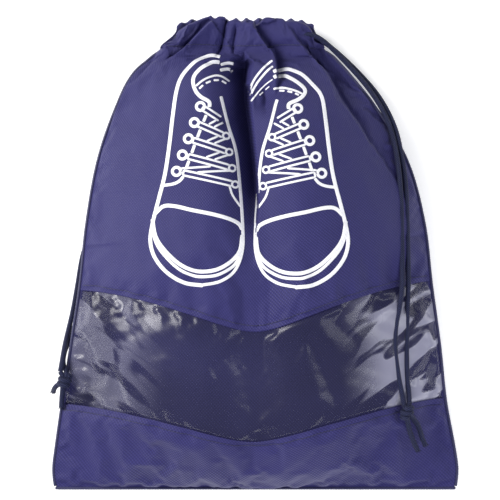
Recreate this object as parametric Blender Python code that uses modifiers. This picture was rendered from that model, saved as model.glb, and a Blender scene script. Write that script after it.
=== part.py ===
"""A drawstring shoe bag with a clear window, filled out and drawn closed, lying on its back.

Lengths are in metres. +Z points up through the printed front, +Y from the bottom seam to the mouth
and +X to the right of someone who reads the front. The floor is at z = 0, under the middle of the bag.
"""
import math

import bmesh
import bpy
from mathutils import Matrix, Vector

# Driving dimensions
CLOTH = 0.0008              # thickness of the non-woven fabric
FILM = 0.0004               # thickness of the clear window
GAP = 0.0003                # clearance between pieces that touch
LOWER_HEIGHT = 0.0700       # fabric from the bottom seam to the window
WINDOW_HEIGHT = 0.0915      # clear film between its two stitched edges
UPPER_HEIGHT = 0.2565       # fabric from the window to the drawcord channel
HEM = 0.0095                # how far the film runs under the fabric
CORD_DIAMETER = 0.0040
SEAM_RADIUS = 0.0012        # overlocked thread along the bag's edges
THREAD_RADIUS = 0.0004      # rows of lockstitch

WINDOW_LOW = LOWER_HEIGHT
WINDOW_HIGH = WINDOW_LOW + WINDOW_HEIGHT
CHANNEL_LINE = WINDOW_HIGH + UPPER_HEIGHT
BOTTOM_Y = -0.185           # the bottom seam

# Edges of the panels, measured from the line of the seam thread
SEAM_INSET = 0.0014
FRONT_LIFT = 0.0021
BACK_DROP = 0.0023
RIM_WIDTH = 0.034           # the strip of the back that turns up to the side seams
TILT = 0.0042               # how far the front's cloth sits up at the right seam and down at the left

# Drawcord channels: flat sleeves across the mouth, front above back
CHANNEL_LEFT, CHANNEL_RIGHT = -0.0520, 0.0370
CHANNEL_Y = 0.1733
CHANNEL_HALF_WIDTH = 0.0127
CHANNEL_HALF_HEIGHT = 0.0060
FRONT_CHANNEL_Z = 0.0260
BACK_CHANNEL_Z = CHANNEL_HALF_HEIGHT
OWN_SIDE_Y, FAR_SIDE_Y = 0.1700, 0.1768     # where a cord lies at its knot's side and opposite
BEND_REACH = 0.0080                         # how far a cord's bend stands out of the channels' ends
CORD_CROSSING = 0.0026                      # how far the cords rise and dip where they cross in a channel

# Gathers: the cloth is pleated at the mouth and the pleats fade out down the bag
PLEATS = 7
PLEAT_DEPTH = 0.0035
PLEAT_LENGTH = 0.11

# Stations up the cloth: height along the cloth, y of the side seams, x of the left seam,
# x of the right seam, z of the seams, y of the front's middle, z of its crown, depth of its valley
STATIONS = (
    (0.0000, -0.1850, -0.1575, 0.1580, 0.0023, -0.1850, 0.0040, 0.0000),
    (0.0150, -0.1705, -0.1588, 0.1592, 0.0045, -0.1810, 0.0180, 0.0010),
    (0.0333, -0.1525, -0.1565, 0.1565, 0.0085, -0.1680, 0.0380, 0.0030),
    (0.0700, -0.1150, -0.1506, 0.1491, 0.0153, -0.1435, 0.0620, 0.0060),
    (0.1140, -0.0720, -0.1437, 0.1440, 0.0210, -0.1010, 0.0740, 0.0090),
    (0.1615, -0.0250, -0.1364, 0.1374, 0.0240, -0.0590, 0.0800, 0.0100),
    (0.2200, 0.0240, -0.1310, 0.1315, 0.0240, 0.0000, 0.0820, 0.0120),
    (0.2800, 0.0720, -0.1225, 0.1185, 0.0220, 0.0580, 0.0760, 0.0140),
    (0.3400, 0.1140, -0.1085, 0.0940, 0.0190, 0.1110, 0.0600, 0.0120),
    (0.3850, 0.1420, -0.0940, 0.0720, 0.0165, 0.1460, 0.0400, 0.0060),
    (CHANNEL_LINE, 0.1600, -0.0710, 0.0550, 0.0155, 0.1600, 0.0260, 0.0000),
)
HEIGHT, SIDE_Y, LEFT_X, RIGHT_X, SIDE_Z, MIDDLE_Y, CROWN_Z, VALLEY = range(8)

# Hand-laid routes of the cords, from the channel's end to the knot and from the knot to the tip
RIGHT_FRONT_STRAND = (
    (0.0378, 0.1700, 0.0260), (0.0445, 0.1698, 0.0256), (0.0530, 0.1655, 0.0230),
    (0.0625, 0.1575, 0.0190), (0.0738, 0.1463, 0.0155), (0.0840, 0.1348, 0.0160),
    (0.0920, 0.1240, 0.0180), (0.0985, 0.1130, 0.0215), (0.1036, 0.1015, 0.0245),
    (0.1073, 0.0890, 0.0275), (0.1094, 0.0760, 0.0325), (0.1112, 0.0600, 0.0370),
    (0.1120, 0.0420, 0.0412), (0.1122, 0.0180, 0.0456), (0.1124, -0.0050, 0.0480),
    (0.1122, -0.0240, 0.0503), (0.1104, -0.0400, 0.0502), (0.1074, -0.0560, 0.0504),
    (0.1070, -0.0740, 0.0496), (0.1100, -0.0950, 0.0460), (0.1126, -0.1070, 0.0434),
    (0.1139, -0.1150, 0.0434),
)
RIGHT_REAR_STRAND = (
    (0.0378, 0.1700, 0.0060), (0.0455, 0.1698, 0.0060), (0.0540, 0.1662, 0.0065),
    (0.0636, 0.1588, 0.0075), (0.0750, 0.1482, 0.0085), (0.0858, 0.1368, 0.0105),
    (0.0946, 0.1260, 0.0135), (0.1016, 0.1145, 0.0175), (0.1072, 0.1022, 0.0212),
    (0.1110, 0.0900, 0.0248), (0.1134, 0.0760, 0.0292), (0.1156, 0.0600, 0.0333),
    (0.1166, 0.0420, 0.0375), (0.1170, 0.0180, 0.0416), (0.1173, -0.0050, 0.0444),
    (0.1173, -0.0240, 0.0466), (0.1166, -0.0450, 0.0450), (0.1162, -0.0700, 0.0440),
    (0.1168, -0.0950, 0.0419), (0.1182, -0.1070, 0.0404), (0.1184, -0.1150, 0.0420),
)
LEFT_FRONT_STRAND = (
    (-0.0536, 0.1700, 0.0260), (-0.0565, 0.1700, 0.0258), (-0.0612, 0.1680, 0.0215),
    (-0.0640, 0.1655, 0.0145),
    (-0.0655, 0.1615, 0.0072), (-0.0680, 0.1560, 0.0042), (-0.0760, 0.1475, 0.0029),
    (-0.0880, 0.1370, 0.0024), (-0.0980, 0.1240, 0.0024), (-0.1055, 0.1080, 0.0024),
    (-0.1155, 0.0800, 0.0024), (-0.1225, 0.0500, 0.0024), (-0.1290, 0.0200, 0.0024),
    (-0.1360, -0.0020, 0.0024), (-0.1400, -0.0250, 0.0024), (-0.1435, -0.0460, 0.0060),
    (-0.1475, -0.0660, 0.0150), (-0.1490, -0.0760, 0.0215), (-0.1501, -0.0850, 0.0264),
    (-0.1512, -0.0915, 0.0274),
)
LEFT_REAR_STRAND = (
    (-0.0536, 0.1700, 0.0060), (-0.0562, 0.1700, 0.0060), (-0.0592, 0.1660, 0.0050),
    (-0.0612, 0.1590, 0.0034), (-0.0660, 0.1500, 0.0024), (-0.0770, 0.1400, 0.0024),
    (-0.0900, 0.1270, 0.0024), (-0.0990, 0.1080, 0.0024), (-0.1090, 0.0800, 0.0024),
    (-0.1160, 0.0500, 0.0024), (-0.1225, 0.0200, 0.0024), (-0.1295, -0.0020, 0.0024),
    (-0.1335, -0.0250, 0.0024), (-0.1385, -0.0460, 0.0030), (-0.1445, -0.0640, 0.0080),
    (-0.1490, -0.0770, 0.0150), (-0.1494, -0.0855, 0.0214), (-0.1466, -0.0915, 0.0262),
)
RIGHT_KNOT = (0.1165, -0.1215, 0.0446)
LEFT_KNOT = (-0.1480, -0.0990, 0.0270)
RIGHT_FRONT_TAIL = (
    (0.1172, -0.1285, 0.0410), (0.1190, -0.1360, 0.0368), (0.1212, -0.1420, 0.0330),
    (0.1235, -0.1475, 0.0297), (0.1258, -0.1520, 0.0267),
)
RIGHT_REAR_TAIL = (
    (0.1205, -0.1255, 0.0395), (0.1250, -0.1315, 0.0348), (0.1275, -0.1370, 0.0313),
    (0.1295, -0.1430, 0.0283), (0.1318, -0.1480, 0.0257),
)
LEFT_FRONT_TAIL = (
    (-0.1497, -0.1058, 0.0250), (-0.1503, -0.1095, 0.0222), (-0.1507, -0.1130, 0.0205),
    (-0.1510, -0.1165, 0.0196), (-0.1512, -0.1195, 0.0190),
)
LEFT_REAR_TAIL = (
    (-0.1540, -0.1025, 0.0250), (-0.1556, -0.1040, 0.0225), (-0.1567, -0.1055, 0.0195),
    (-0.1574, -0.1068, 0.0165), (-0.1578, -0.1080, 0.0140),
)
KNOT_HALF_SIZE = (0.0062, 0.0070, 0.0052)
KNOT_CLEARANCE = 0.0013     # from the lump to the middle of a cord's end

for old_object in list(bpy.data.objects):
    bpy.data.objects.remove(old_object)

parts = bpy.data.collections.new("shoe_bag")
bpy.context.scene.collection.children.link(parts)


def material(name, colour, roughness):
    """A plain dielectric of that colour."""
    made = bpy.data.materials.new(name)
    made.use_nodes = True
    shader = made.node_tree.nodes["Principled BSDF"]
    shader.inputs["Base Color"].default_value = (*colour, 1)
    shader.inputs["Roughness"].default_value = roughness
    shader.inputs["Metallic"].default_value = 0.0
    return made


def fabric_navy(name):
    return material(name + "_fabric", (0.055, 0.055, 0.19), 0.75)


def clear_film(name):
    made = material(name + "_film", (0.78, 0.80, 0.90), 0.12)
    made.node_tree.nodes["Principled BSDF"].inputs["Alpha"].default_value = 0.3
    return made


def cord_braid(name):
    return material(name + "_braid", (0.028, 0.028, 0.085), 0.7)


def sewing_thread(name):
    return material(name + "_thread", (0.03, 0.03, 0.10), 0.6)


def add(name, data, finish):
    """Puts a mesh or curve in the collection as one named part."""
    part = bpy.data.objects.new(name, data)
    data.materials.append(finish)
    parts.objects.link(part)
    return part


def smooth_value(points, key, value, at):
    """Reads column value at position at of column key, on a curve through every point."""
    count = len(points)
    i = 0
    while i < count - 2 and at > points[i + 1][key]:
        i += 1
    low, high = points[i], points[i + 1]
    before, after = points[max(i - 1, 0)], points[min(i + 2, count - 1)]
    span = high[key] - low[key]
    slope_low = (high[value] - before[value]) / (high[key] - before[key])
    slope_high = (after[value] - low[value]) / (after[key] - low[key])
    t = (at - low[key]) / span
    return ((2 * t ** 3 - 3 * t ** 2 + 1) * low[value] + (t ** 3 - 2 * t ** 2 + t) * span * slope_low
            + (3 * t ** 2 - 2 * t ** 3) * high[value] + (t ** 3 - t ** 2) * span * slope_high)


def station(height, value):
    return smooth_value(STATIONS, HEIGHT, value, height)


def plan(across, height):
    """x and y on a side-to-side line of the cloth, across from -1 at the left seam to 1 at the right."""
    left = station(height, LEFT_X) + SEAM_INSET
    right = station(height, RIGHT_X) - SEAM_INSET
    x = left + (right - left) * (across + 1) / 2
    return x, max(station(height, SIDE_Y), BOTTOM_Y + SEAM_INSET)


def hang(across):
    """How a level line of the front's cloth dips from the side seams, 0, to the middle, 1."""
    rounding = 0.12
    away = (math.hypot(across, rounding) - rounding) / (math.hypot(1, rounding) - rounding)
    return (1 - min(away, 1)) ** 1.55


def front_point(across, height):
    """The outer face of the filled front: two lobes with a valley between, and pleats at the mouth."""
    up = min(height / CHANNEL_LINE, 1)
    height += TILT * across * 4 * up * (1 - up)
    side_y = plan(across, height)[1]
    middle_y = max(station(height, MIDDLE_Y), BOTTOM_Y + SEAM_INSET)
    y = side_y + (middle_y - side_y) * hang(across)
    # the filled shape follows the contents, however the cloth hangs over them
    height += (side_y - middle_y) * (1 - abs(across) ** 1.8 - hang(across))
    x = plan(across, height)[0]
    side_z = station(height, SIDE_Z) + FRONT_LIFT
    dome = 1 - abs(across) ** 2.3
    z = side_z + (station(height, CROWN_Z) - side_z) * dome
    z -= station(height, VALLEY) * math.exp(-(across / 0.17) ** 2)
    gathered = max(0.0, 1 - (CHANNEL_LINE - height) / PLEAT_LENGTH)
    z += PLEAT_DEPTH * gathered * (1 - gathered) * 4 * dome * math.cos(math.pi * PLEATS * across)
    return Vector((x, y, z))


def back_point(across, height):
    """The outer face of the back: flat on the floor, turning up to the side seams."""
    x, y = plan(across, height)
    half_width = (station(height, RIGHT_X) - station(height, LEFT_X)) / 2
    rim = max(0.0, 1 - (1 - abs(across)) * half_width / RIM_WIDTH)
    rise = rim * rim * (3 - 2 * rim)
    return Vector((x, y, max(0.0, station(height, SIDE_Z) - BACK_DROP) * rise))


def inside(surface, depth):
    """The same surface, moved towards the inside of the bag."""
    step = 0.001

    def point(across, height):
        low, high = max(height - step, 0.0), min(height + step, CHANNEL_LINE)
        left, right = max(across - step, -1.0), min(across + step, 1.0)
        along_x = surface(right, height) - surface(left, height)
        along_y = surface(across, high) - surface(across, low)
        return surface(across, height) - depth * along_x.cross(along_y).normalized()

    return point


def panel(name, surface, low, high, columns, rows, thickness, side, finish):
    """A sheet between two heights of a surface. side is -1 to thicken down from it and 1 to thicken up."""
    mesh = bpy.data.meshes.new(name)
    form = bmesh.new()
    bmesh.ops.create_grid(form, x_segments=columns, y_segments=rows, size=1)
    for vertex in form.verts:
        height = low + (high - low) * (vertex.co.y + 1) / 2
        vertex.co = surface(vertex.co.x, height)
    form.to_mesh(mesh)
    form.free()
    part = add(name, mesh, finish)
    solidify = part.modifiers.new("thickness", "SOLIDIFY")
    solidify.thickness = thickness
    solidify.offset = side
    mesh.shade_smooth()
    return part


def sleeve(name, z, finish):
    """One drawcord channel: a flattened, open-ended tube across the mouth."""
    mesh = bpy.data.meshes.new(name)
    form = bmesh.new()
    length = CHANNEL_RIGHT - CHANNEL_LEFT
    bmesh.ops.create_cone(form, cap_ends=False, segments=24, radius1=1, radius2=1, depth=length)
    for vertex in form.verts:
        turned, up, along = vertex.co
        vertex.co = ((CHANNEL_LEFT + CHANNEL_RIGHT) / 2 + along,
                     CHANNEL_Y + CHANNEL_HALF_WIDTH * turned, z + CHANNEL_HALF_HEIGHT * up)
    bmesh.ops.recalc_face_normals(form, faces=form.faces)
    form.to_mesh(mesh)
    form.free()
    part = add(name, mesh, finish)
    solidify = part.modifiers.new("thickness", "SOLIDIFY")
    solidify.thickness = CLOTH
    solidify.offset = -1
    mesh.shade_smooth()
    return part


def spread(route, spacing):
    """Points about spacing apart on a smooth curve through the route."""
    points = [Vector(p) for p in route]
    padded = [2 * points[0] - points[1], *points, 2 * points[-1] - points[-2]]
    found = []
    for before, low, high, after in zip(padded, padded[1:], padded[2:], padded[3:]):
        steps = max(1, round((high - low).length / spacing))
        for step in range(steps):
            t = step / steps
            found.append(0.5 * (2 * low + (high - before) * t
                                + (2 * before - 5 * low + 4 * high - after) * t ** 2
                                + (3 * low - before - 3 * high + after) * t ** 3))
    return [*found, points[-1]]


def tube(name, points, radius, finish, resolution=2):
    """A round cord along the points, with closed ends."""
    curve = bpy.data.curves.new(name, "CURVE")
    curve.dimensions = "3D"
    curve.bevel_depth = radius
    curve.bevel_resolution = resolution
    curve.use_fill_caps = True
    spline = curve.splines.new("POLY")
    spline.points.add(len(points) - 1)
    for target, point in zip(spline.points, points):
        target.co = (*point, 1)
    spline.use_smooth = True
    return add(name, curve, finish)


def knot(name, place, finish):
    """The lump of an overhand knot in two strands."""
    mesh = bpy.data.meshes.new(name)
    form = bmesh.new()
    bmesh.ops.create_uvsphere(form, u_segments=14, v_segments=8, radius=1)
    bmesh.ops.scale(form, verts=form.verts, vec=KNOT_HALF_SIZE)
    form.to_mesh(mesh)
    form.free()
    mesh.shade_smooth()
    part = add(name, mesh, finish)
    part.location = place
    return part


def thinned(points, step):
    """Every step-th point, and the last."""
    kept = points[:-step // 2:step]
    return [*kept, points[-1]]


def outside_knot(points, place):
    """The points without those that the knot's lump would touch."""
    reach = [half + KNOT_CLEARANCE for half in KNOT_HALF_SIZE]
    return [p for p in points if sum(((p[i] - place[i]) / reach[i]) ** 2 for i in range(3)) > 1]


def panels():
    """The four sheets of the bag."""
    panel("back_panel", back_point, 0, CHANNEL_LINE, 20, 16, CLOTH, 1, fabric_navy("back_panel"))
    panel("front_lower_panel", front_point, 0, WINDOW_LOW, 28, 6, CLOTH, -1,
          fabric_navy("front_lower_panel"))
    panel("window_film", inside(front_point, CLOTH + 0.0007), WINDOW_LOW - HEM, WINDOW_HIGH + HEM,
          28, 8, FILM, -1, clear_film("window_film"))
    panel("front_upper_panel", front_point, WINDOW_HIGH, CHANNEL_LINE, 28, 16, CLOTH, -1,
          fabric_navy("front_upper_panel"))


def seams():
    """The overlocked thread that joins front and back along the sides and the bottom."""
    rows = 24
    for side, edge in (("left", LEFT_X), ("right", RIGHT_X)):
        heights = [CHANNEL_LINE * (0.006 + 0.99 * row / rows) for row in range(rows + 1)]
        route = [(station(h, edge), station(h, SIDE_Y), station(h, SIDE_Z)) for h in heights]
        name = side + "_side_seam"
        tube(name, route, SEAM_RADIUS, sewing_thread(name))
    bottom_z = station(0, SIDE_Z)
    half = station(0, RIGHT_X) - 0.001
    route = [(half * step / 4, BOTTOM_Y, bottom_z) for step in range(-4, 5)]
    tube("bottom_seam", route, SEAM_RADIUS, sewing_thread("bottom_seam"))


def stitching():
    """Rows of lockstitch that lie on the fabric along the window's edges."""
    proud = -(GAP + 1.25 * THREAD_RADIUS)
    for name, height in (("window_top_stitching", WINDOW_HIGH + HEM / 2),
                         ("window_bottom_stitching", WINDOW_LOW - HEM / 2)):
        columns = 28
        above = inside(front_point, proud)
        route = [above(2 * column / columns - 1, height) for column in range(1, columns)]
        tube(name, route, THREAD_RADIUS, sewing_thread(name), resolution=0)


def channels():
    """The two sleeves, each with its row of lockstitch along the edge towards the bag."""
    turned = math.radians(150)
    for side, z, outward in (("front", FRONT_CHANNEL_Z, 1), ("back", BACK_CHANNEL_Z, -1)):
        name = side + "_channel"
        sleeve(name, z, fabric_navy(name))
        y = CHANNEL_Y + CHANNEL_HALF_WIDTH * math.cos(turned)
        stitch_z = z + outward * (CHANNEL_HALF_HEIGHT * math.sin(turned) + 2 * THREAD_RADIUS + GAP)
        ends = (CHANNEL_LEFT + 0.001, CHANNEL_RIGHT - 0.001)
        route = [(x, y, stitch_z) for x in ends]
        tube(name + "_stitching", route, THREAD_RADIUS, sewing_thread(name), resolution=0)


def cord_loop(near, far):
    """Points along one cord inside the channels: in at the front, round the far side, back behind."""
    away = math.copysign(1, far - near)
    lift = -away * CORD_CROSSING
    bend_z = (FRONT_CHANNEL_Z + BACK_CHANNEL_Z) / 2
    radius = (FRONT_CHANNEL_Z - BACK_CHANNEL_Z) / 2
    steps = 8
    run = []
    for step in range(steps + 1):
        t = step / steps
        y = OWN_SIDE_Y + (FAR_SIDE_Y - OWN_SIDE_Y) * t
        run.append((near + (far - near) * t, y, lift * math.sin(math.pi * t)))
    front = [(x, y, FRONT_CHANNEL_Z + z) for x, y, z in run]
    back = [(x, y, BACK_CHANNEL_Z + z) for x, y, z in reversed(run)]
    bend = [(far + away * BEND_REACH * math.sin(math.pi * step / steps), FAR_SIDE_Y,
             bend_z + radius * math.cos(math.pi * step / steps)) for step in range(1, steps)]
    return front + bend + back


def cords():
    """Two loops of cord, each through both channels; a knot and its tails move as one."""
    braid_radius = CORD_DIAMETER / 2
    for side, near, far in (("right", CHANNEL_RIGHT, CHANNEL_LEFT),
                            ("left", CHANNEL_LEFT, CHANNEL_RIGHT)):
        name = side + "_cord_loop"
        tube(name, cord_loop(near, far), braid_radius, cord_braid(name))
    runs = (("right", RIGHT_KNOT, RIGHT_FRONT_STRAND, RIGHT_REAR_STRAND,
             RIGHT_FRONT_TAIL, RIGHT_REAR_TAIL),
            ("left", LEFT_KNOT, LEFT_FRONT_STRAND, LEFT_REAR_STRAND,
             LEFT_FRONT_TAIL, LEFT_REAR_TAIL))
    for side, place, *routes in runs:
        pull = bpy.data.objects.new(side + "_pull", None)
        pull.location = place
        parts.objects.link(pull)
        made = {"knot": knot(side + "_cord_knot", place, cord_braid(side + "_cord_knot"))}
        for kind, route in zip(("front_strand", "rear_strand", "front_tail", "rear_tail"), routes):
            name = side + "_cord_" + kind
            points = outside_knot(spread(route, CORD_DIAMETER / 4), place)
            made[kind] = tube(name, thinned(points, 10), braid_radius, cord_braid(name))
        for kind in ("knot", "front_tail", "rear_tail"):
            made[kind].parent = pull
            made[kind].matrix_parent_inverse = Matrix.Translation(place).inverted()


panels()
seams()
stitching()
channels()
cords()
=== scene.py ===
"""The looks of the drawstring shoe bag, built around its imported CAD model. Lengths are in metres."""
import math

import bpy
import numpy as np
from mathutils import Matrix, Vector
from mathutils.bvhtree import BVHTree


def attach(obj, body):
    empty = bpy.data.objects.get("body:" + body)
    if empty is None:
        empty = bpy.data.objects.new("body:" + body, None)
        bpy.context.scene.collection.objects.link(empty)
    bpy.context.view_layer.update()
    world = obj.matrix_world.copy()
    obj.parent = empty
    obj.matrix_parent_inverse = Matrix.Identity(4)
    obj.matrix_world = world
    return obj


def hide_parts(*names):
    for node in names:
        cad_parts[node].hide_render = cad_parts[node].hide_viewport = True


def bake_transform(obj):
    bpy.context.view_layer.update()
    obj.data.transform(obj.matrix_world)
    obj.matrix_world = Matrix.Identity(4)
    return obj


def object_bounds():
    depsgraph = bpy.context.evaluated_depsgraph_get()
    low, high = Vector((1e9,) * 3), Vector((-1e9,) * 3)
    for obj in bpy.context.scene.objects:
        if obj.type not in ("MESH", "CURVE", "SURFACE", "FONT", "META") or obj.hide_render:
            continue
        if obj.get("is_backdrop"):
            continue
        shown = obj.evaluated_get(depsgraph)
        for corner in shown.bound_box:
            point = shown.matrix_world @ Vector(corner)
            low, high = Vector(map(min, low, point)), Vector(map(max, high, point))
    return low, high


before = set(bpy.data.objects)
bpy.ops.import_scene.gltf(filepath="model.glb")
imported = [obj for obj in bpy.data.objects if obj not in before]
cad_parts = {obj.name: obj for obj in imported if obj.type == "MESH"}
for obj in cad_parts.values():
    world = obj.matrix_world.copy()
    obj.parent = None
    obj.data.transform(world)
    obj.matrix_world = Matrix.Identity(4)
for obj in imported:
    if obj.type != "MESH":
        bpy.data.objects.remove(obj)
CAD_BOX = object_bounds()

# ---- The bag's dimensions, as in the CAD model ----
WINDOW_LOW, WINDOW_HIGH, CHANNEL_LINE = 0.0700, 0.1615, 0.418
HEM = 0.0095
BOTTOM_Y = -0.185
SEAM_INSET, RIM_WIDTH = 0.0014, 0.034
TILT = 0.0042                       # how far the front's cloth sits up at the right seam, down at the left
HALF_FLAT = 0.160                   # half the width of the bag laid flat
CORD_RADIUS = 0.0020
CHANNEL_TOP = 0.441                 # height along the cloth of the mouth's folded edge
CHANNEL_Y, BACK_EDGE_Y = 0.160, 0.1818      # the channel's stitching, and the back's folded edge
CLOTH_LOW_Y = BOTTOM_Y + 0.0008     # where the panels end at the bottom seam
FRONT_LOW_Z, BACK_LOW_Z = 0.0026, 0.0014    # the panels' heights where they meet in that seam
BRAID_PITCH = 0.0135                # length of one turn of the cords' yarns

# Height along the cloth, y of the side seams, x of the left seam, x of the right seam, z of the seams,
# y of the front's middle, z of its crown, depth of its valley
STATIONS = (
    (0.0000, -0.1850, -0.1575, 0.1580, 0.0023, -0.1850, 0.0040, 0.0000),
    (0.0150, -0.1705, -0.1588, 0.1592, 0.0045, -0.1810, 0.0180, 0.0010),
    (0.0333, -0.1525, -0.1565, 0.1565, 0.0085, -0.1680, 0.0380, 0.0030),
    (0.0700, -0.1150, -0.1506, 0.1491, 0.0153, -0.1435, 0.0620, 0.0060),
    (0.1140, -0.0720, -0.1437, 0.1440, 0.0210, -0.1010, 0.0740, 0.0090),
    (0.1615, -0.0250, -0.1364, 0.1374, 0.0240, -0.0590, 0.0800, 0.0100),
    (0.2200, 0.0240, -0.1310, 0.1315, 0.0240, 0.0000, 0.0820, 0.0120),
    (0.2800, 0.0720, -0.1225, 0.1185, 0.0220, 0.0580, 0.0760, 0.0140),
    (0.3400, 0.1140, -0.1085, 0.0940, 0.0190, 0.1110, 0.0600, 0.0120),
    (0.3850, 0.1420, -0.0940, 0.0720, 0.0165, 0.1460, 0.0400, 0.0060),
    (CHANNEL_LINE, 0.1600, -0.0710, 0.0550, 0.0155, 0.1600, 0.0260, 0.0000),
)
HEIGHT, SIDE_Y, LEFT_X, RIGHT_X, SIDE_Z, MIDDLE_Y, CROWN_Z, VALLEY = range(8)

# The mouth's front edge, from above: x and y of its folded edge
FRONT_EDGE = (
    (-0.0612, 0.1690), (-0.0593, 0.1711), (-0.0510, 0.1757), (-0.0423, 0.1798), (-0.0380, 0.1815),
    (-0.0345, 0.1822), (-0.0312, 0.1802), (-0.0278, 0.1818), (-0.0225, 0.1808), (-0.0212, 0.1786),
    (-0.0180, 0.1790), (-0.0150, 0.1800), (-0.0120, 0.1782), (-0.0098, 0.1772), (-0.0052, 0.1792),
    (-0.0018, 0.1776), (0.0002, 0.1756), (0.0042, 0.1780), (0.0080, 0.1808), (0.0150, 0.1803),
    (0.0212, 0.1800), (0.0238, 0.1781), (0.0300, 0.1786), (0.0380, 0.1766), (0.0425, 0.1735),
    (0.0448, 0.1695), (0.0458, 0.1660),
)

# ---- Routes of the cords, as in the CAD model ----
RIGHT_FRONT_STRAND = (
    (0.0378, 0.1700, 0.0260), (0.0445, 0.1698, 0.0256), (0.0530, 0.1655, 0.0230),
    (0.0625, 0.1575, 0.0190), (0.0738, 0.1463, 0.0155), (0.0840, 0.1348, 0.0160),
    (0.0920, 0.1240, 0.0180), (0.0985, 0.1130, 0.0215), (0.1036, 0.1015, 0.0245),
    (0.1073, 0.0890, 0.0275), (0.1094, 0.0760, 0.0325), (0.1112, 0.0600, 0.0370),
    (0.1120, 0.0420, 0.0412), (0.1122, 0.0180, 0.0456), (0.1124, -0.0050, 0.0480),
    (0.1122, -0.0240, 0.0503), (0.1104, -0.0400, 0.0502), (0.1074, -0.0560, 0.0504),
    (0.1070, -0.0740, 0.0496), (0.1100, -0.0950, 0.0460), (0.1126, -0.1070, 0.0434),
    (0.1139, -0.1150, 0.0434),
)
RIGHT_REAR_STRAND = (
    (0.0378, 0.1700, 0.0060), (0.0455, 0.1698, 0.0060), (0.0540, 0.1662, 0.0065),
    (0.0636, 0.1588, 0.0075), (0.0750, 0.1482, 0.0085), (0.0858, 0.1368, 0.0105),
    (0.0946, 0.1260, 0.0135), (0.1016, 0.1145, 0.0175), (0.1072, 0.1022, 0.0212),
    (0.1110, 0.0900, 0.0248), (0.1134, 0.0760, 0.0292), (0.1156, 0.0600, 0.0333),
    (0.1166, 0.0420, 0.0375), (0.1170, 0.0180, 0.0416), (0.1173, -0.0050, 0.0444),
    (0.1173, -0.0240, 0.0466), (0.1166, -0.0450, 0.0450), (0.1162, -0.0700, 0.0440),
    (0.1168, -0.0950, 0.0419), (0.1182, -0.1070, 0.0404), (0.1184, -0.1150, 0.0420),
)
LEFT_FRONT_STRAND = (
    (-0.0536, 0.1700, 0.0260), (-0.0565, 0.1700, 0.0258), (-0.0612, 0.1680, 0.0215),
    (-0.0640, 0.1655, 0.0145),
    (-0.0655, 0.1615, 0.0072), (-0.0680, 0.1560, 0.0042), (-0.0760, 0.1475, 0.0029),
    (-0.0880, 0.1370, 0.0024), (-0.0980, 0.1240, 0.0024), (-0.1055, 0.1080, 0.0024),
    (-0.1155, 0.0800, 0.0024), (-0.1225, 0.0500, 0.0024), (-0.1290, 0.0200, 0.0024),
    (-0.1360, -0.0020, 0.0024), (-0.1400, -0.0250, 0.0024), (-0.1435, -0.0460, 0.0060),
    (-0.1475, -0.0660, 0.0150), (-0.1490, -0.0760, 0.0215), (-0.1501, -0.0850, 0.0264),
    (-0.1512, -0.0915, 0.0274),
)
LEFT_REAR_STRAND = (
    (-0.0536, 0.1700, 0.0060), (-0.0562, 0.1700, 0.0060), (-0.0592, 0.1660, 0.0050),
    (-0.0612, 0.1590, 0.0034), (-0.0660, 0.1500, 0.0024), (-0.0770, 0.1400, 0.0024),
    (-0.0900, 0.1270, 0.0024), (-0.0990, 0.1080, 0.0024), (-0.1090, 0.0800, 0.0024),
    (-0.1160, 0.0500, 0.0024), (-0.1225, 0.0200, 0.0024), (-0.1295, -0.0020, 0.0024),
    (-0.1335, -0.0250, 0.0024), (-0.1385, -0.0460, 0.0030), (-0.1445, -0.0640, 0.0080),
    (-0.1490, -0.0770, 0.0150), (-0.1494, -0.0855, 0.0214), (-0.1466, -0.0915, 0.0262),
)
RIGHT_KNOT = (0.1165, -0.1215, 0.0446)
LEFT_KNOT = (-0.1480, -0.0990, 0.0270)
RIGHT_FRONT_TAIL = (
    (0.1172, -0.1285, 0.0410), (0.1190, -0.1360, 0.0368), (0.1212, -0.1420, 0.0330),
    (0.1235, -0.1475, 0.0297), (0.1258, -0.1520, 0.0267),
)
RIGHT_REAR_TAIL = (
    (0.1205, -0.1255, 0.0395), (0.1250, -0.1315, 0.0348), (0.1275, -0.1370, 0.0313),
    (0.1295, -0.1430, 0.0283), (0.1318, -0.1480, 0.0257),
)
LEFT_FRONT_TAIL = (
    (-0.1497, -0.1058, 0.0250), (-0.1503, -0.1095, 0.0222), (-0.1507, -0.1130, 0.0205),
    (-0.1510, -0.1165, 0.0196), (-0.1512, -0.1195, 0.0190),
)
LEFT_REAR_TAIL = (
    (-0.1540, -0.1025, 0.0250), (-0.1556, -0.1040, 0.0225), (-0.1567, -0.1055, 0.0195),
    (-0.1574, -0.1068, 0.0165), (-0.1578, -0.1080, 0.0140),
)


def link(made):
    """Puts an object in the scene."""
    bpy.context.scene.collection.objects.link(made)
    return made


def put(thing, **values):
    """Gives some of a thing's attributes their values."""
    for name, value in values.items():
        setattr(thing, name, value)
    return thing


# ---- Camera, light and floor ----
def camera():
    data = put(bpy.data.cameras.new("camera"), lens=141.3, sensor_width=36, clip_end=10)
    made = put(bpy.data.objects.new("camera", data), location=(-0.0040, 0.0028, 1.55))
    bpy.context.scene.camera = link(made)


def softbox(name, place, size, power, colour=(1, 1, 1), mirrored=True):
    """A rectangular light, aimed at the middle of the bag."""
    data = put(bpy.data.lights.new(name, "AREA"), shape="RECTANGLE", size=size[0], size_y=size[1],
               energy=power, color=colour)
    aim = (Vector((0, 0, 0.03)) - Vector(place)).to_track_quat("-Z", "Y").to_euler()
    link(put(bpy.data.objects.new(name, data), location=place, visible_glossy=mirrored, rotation_euler=aim))


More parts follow.
